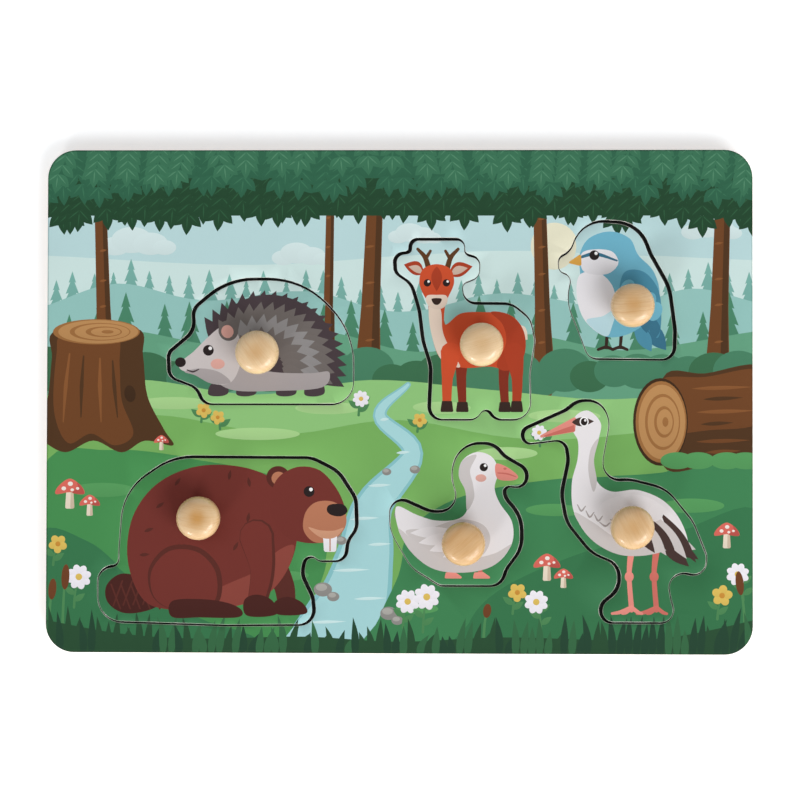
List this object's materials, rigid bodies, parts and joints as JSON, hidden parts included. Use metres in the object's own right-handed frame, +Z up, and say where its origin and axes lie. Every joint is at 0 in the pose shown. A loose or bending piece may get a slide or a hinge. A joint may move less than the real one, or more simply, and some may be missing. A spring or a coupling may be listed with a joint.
{
  "type": "peg puzzle",
  "caption": "Flat rectangular wooden puzzle board with a printed picture and animal-shaped cut-outs, each filled by a picture piece that lifts out by a turned mushroom knob.",
  "frame": {"origin": "middle of the board's underside", "axes": "+X along the board's length to the picture's right, +Y towards the picture's top, +Z up out of the picture"},
  "size_m": [0.3, 0.214, 0.0232],
  "materials": {
    "backing_wood": "bare sanded plywood",
    "frame_wood": "sanded plywood, laser-browned cut edges",
    "frame_paper": "printed, satin varnish",
    "piece_wood": "plywood, laser-browned cut edges",
    "knob_wood": "turned, satin varnish",
    "hedgehog_paper": "printed, satin varnish",
    "deer_paper": "printed, satin varnish",
    "songbird_paper": "printed, satin varnish",
    "beaver_paper": "printed, satin varnish",
    "goose_paper": "printed, satin varnish",
    "stork_paper": "printed, satin varnish"
  },
  "bodies": {
    "board": {"backing_board": "backing_wood", "frame_board": "frame_wood", "frame_print": "frame_paper"},
    "hedgehog": {"hedgehog_block": "piece_wood", "hedgehog_print": "hedgehog_paper", "hedgehog_knob": "knob_wood"},
    "deer": {"deer_block": "piece_wood", "deer_print": "deer_paper", "deer_knob": "knob_wood"},
    "songbird": {"songbird_block": "piece_wood", "songbird_print": "songbird_paper", "songbird_knob": "knob_wood"},
    "beaver": {"beaver_block": "piece_wood", "beaver_print": "beaver_paper", "beaver_knob": "knob_wood"},
    "goose": {"goose_block": "piece_wood", "goose_print": "goose_paper", "goose_knob": "knob_wood"},
    "stork": {"stork_block": "piece_wood", "stork_print": "stork_paper", "stork_knob": "knob_wood"}
  },
  "joints": [
    {"name": "hedgehog_lift", "type": "slide", "parent": "board", "child": "hedgehog", "axis": [0, 0, 1], "range_m": [0, 0.05]},
    {"name": "deer_lift", "type": "slide", "parent": "board", "child": "deer", "axis": [0, 0, 1], "range_m": [0, 0.05]},
    {"name": "songbird_lift", "type": "slide", "parent": "board", "child": "songbird", "axis": [0, 0, 1], "range_m": [0, 0.05]},
    {"name": "beaver_lift", "type": "slide", "parent": "board", "child": "beaver", "axis": [0, 0, 1], "range_m": [0, 0.05]},
    {"name": "goose_lift", "type": "slide", "parent": "board", "child": "goose", "axis": [0, 0, 1], "range_m": [0, 0.05]},
    {"name": "stork_lift", "type": "slide", "parent": "board", "child": "stork", "axis": [0, 0, 1], "range_m": [0, 0.05]}
  ]
}
